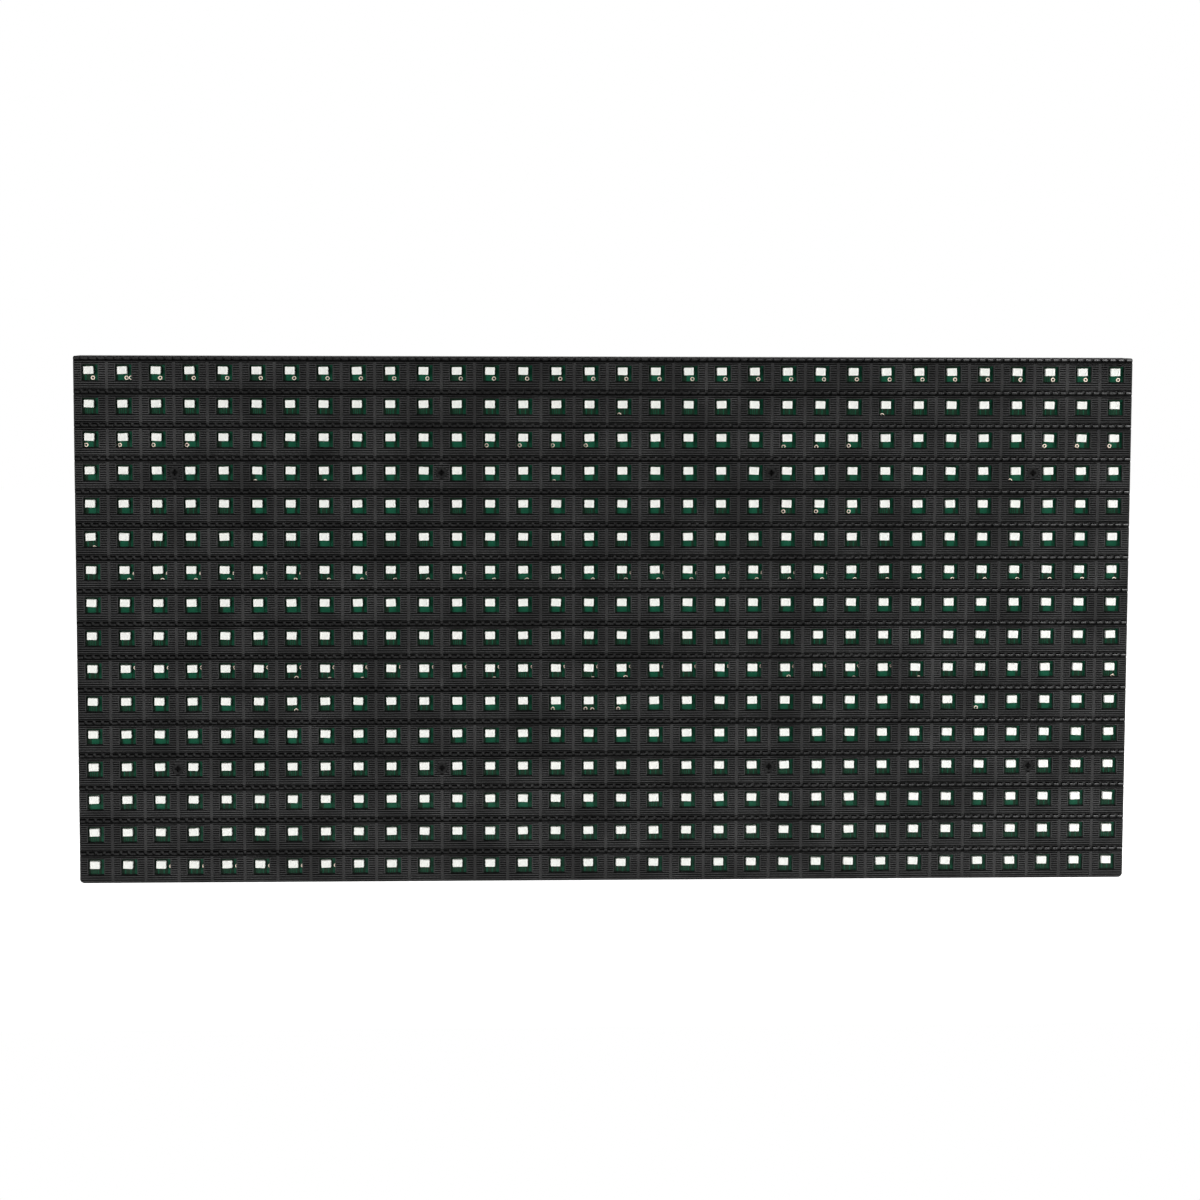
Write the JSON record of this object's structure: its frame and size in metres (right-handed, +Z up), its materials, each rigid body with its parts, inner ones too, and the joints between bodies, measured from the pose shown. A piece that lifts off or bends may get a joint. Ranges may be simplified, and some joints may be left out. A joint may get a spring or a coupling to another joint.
{
  "type": "led display module",
  "caption": "Flat rectangular LED matrix module: a louvred black front mask over a green board of white surface-mounted lamps, with an open rear case, screw inserts and cable headers.",
  "frame": {"origin": "centre of the rear fixing plane, midway between the threaded inserts", "axes": "+X to the right seen from the front, +Y out of the rear of the module, +Z up"},
  "size_m": [0.3198, 0.0154, 0.1598],
  "materials": {
    "mask_plastic": "moulded matt black polycarbonate with fine level grooves",
    "black_screw": "black oxide steel",
    "board_laminate": "green solder mask over glass-epoxy laminate",
    "case_plastic": "moulded black plastic, lightly textured",
    "insert_brass": "turned brass",
    "header_plastic": "moulded black plastic",
    "gilt_pin": "thin gold plating",
    "power_plastic": "natural white nylon",
    "tinned_pin": "tin plating",
    "lamp_package": "white moulded LED package with milky resin",
    "chip_resin": "black moulding resin with tinned leads",
    "capacitor_can": "bare drawn aluminium can on a black base",
    "resistor_glaze": "black glaze with tinned ends",
    "capacitor_ceramic": "fired ceramic with tinned ends"
  },
  "bodies": {
    "root": {"front_mask": "mask_plastic", "mask_screws": "black_screw", "circuit_board": "board_laminate", "rear_case": "case_plastic", "threaded_inserts": "insert_brass", "data_in_header": "header_plastic", "data_in_pins": "gilt_pin", "data_out_header": "header_plastic", "data_out_pins": "gilt_pin", "power_header": "power_plastic", "power_pins": "tinned_pin", "led_row_01": "lamp_package", "led_row_02": "lamp_package", "led_row_03": "lamp_package", "led_row_04": "lamp_package", "led_row_05": "lamp_package", "led_row_06": "lamp_package", "led_row_07": "lamp_package", "led_row_08": "lamp_package", "led_row_09": "lamp_package", "led_row_10": "lamp_package", "led_row_11": "lamp_package", "led_row_12": "lamp_package", "led_row_13": "lamp_package", "led_row_14": "lamp_package", "led_row_15": "lamp_package", "led_row_16": "lamp_package", "shift_register_01": "chip_resin", "shift_register_02": "chip_resin", "shift_register_03": "chip_resin", "shift_register_04": "chip_resin", "shift_register_05": "chip_resin", "shift_register_06": "chip_resin", "shift_register_07": "chip_resin", "shift_register_08": "chip_resin", "shift_register_09": "chip_resin", "shift_register_10": "chip_resin", "shift_register_11": "chip_resin", "shift_register_12": "chip_resin", "shift_register_13": "chip_resin", "shift_register_14": "chip_resin", "shift_register_15": "chip_resin", "shift_register_16": "chip_resin", "row_decoder": "chip_resin", "line_buffer_1": "chip_resin", "line_buffer_2": "chip_resin", "row_switch_1": "chip_resin", "row_switch_2": "chip_resin", "row_switch_3": "chip_resin", "row_switch_4": "chip_resin", "reservoir_capacitor_1": "capacitor_can", "reservoir_capacitor_2": "capacitor_can", "resistor_arrays": "resistor_glaze", "ceramic_capacitors": "capacitor_ceramic"}
  },
  "joints": []
}
